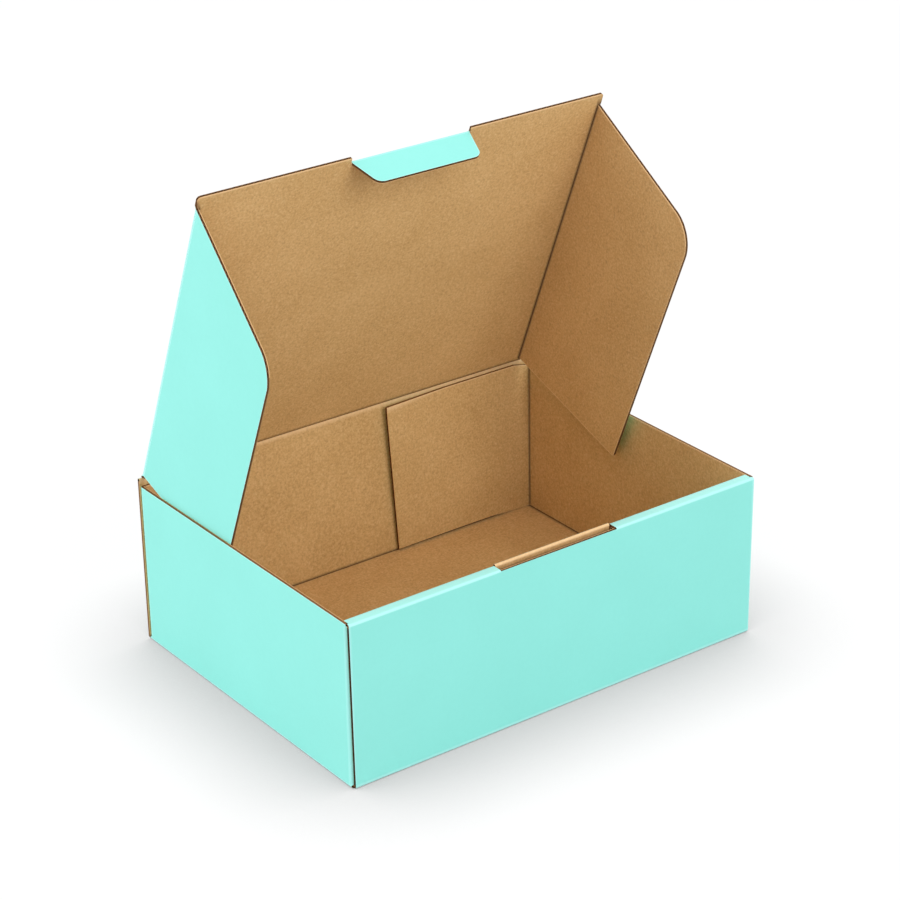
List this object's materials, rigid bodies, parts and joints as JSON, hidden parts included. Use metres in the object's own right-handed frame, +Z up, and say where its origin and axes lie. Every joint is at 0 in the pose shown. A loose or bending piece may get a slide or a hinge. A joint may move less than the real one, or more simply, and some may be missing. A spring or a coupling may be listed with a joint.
{
  "type": "corrugated mailer box",
  "caption": "Roll-end corrugated mailer box standing open, with a lid hinged at the back, dust flaps on the lid and a lock tab for the slot in the front wall.",
  "frame": {"origin": "centre of the footprint, on the ground", "axes": "+X to the right seen from the front, +Y from the front wall to the lid's fold at the back, +Z up"},
  "size_m": [0.254, 0.19, 0.2681],
  "materials": {
    "printed_board": "matte"
  },
  "bodies": {
    "tray_body": {"tray": "printed_board"},
    "lid_body": {"lid": "printed_board"},
    "left_ear_body": {"left_ear": "printed_board"},
    "right_ear_body": {"right_ear": "printed_board"},
    "lock_tab_body": {"lock_tab": "printed_board"}
  },
  "joints": [
    {"name": "lid_hinge", "type": "hinge", "parent": "tray_body", "child": "lid_body", "pos_m": [0, 0.0942, 0.0932], "axis": [-1, 0, 0], "range_deg": [-67.7, 112.5]},
    {"name": "left_ear_hinge", "type": "hinge", "parent": "lid_body", "child": "left_ear_body", "pos_m": [-0.1235, 0.09318, 0.09278], "axis": [0, -0.3827, 0.9239], "range_deg": [0, 85]},
    {"name": "right_ear_hinge", "type": "hinge", "parent": "lid_body", "child": "right_ear_body", "pos_m": [0.1186, 0.09318, 0.09278], "axis": [0, 0.3827, -0.9239], "range_deg": [0, 85]},
    {"name": "lock_tab_hinge", "type": "hinge", "parent": "lid_body", "child": "lock_tab_body", "pos_m": [0, 0.02321, 0.26458], "axis": [-1, 0, 0], "range_deg": [0, 90]}
  ]
}
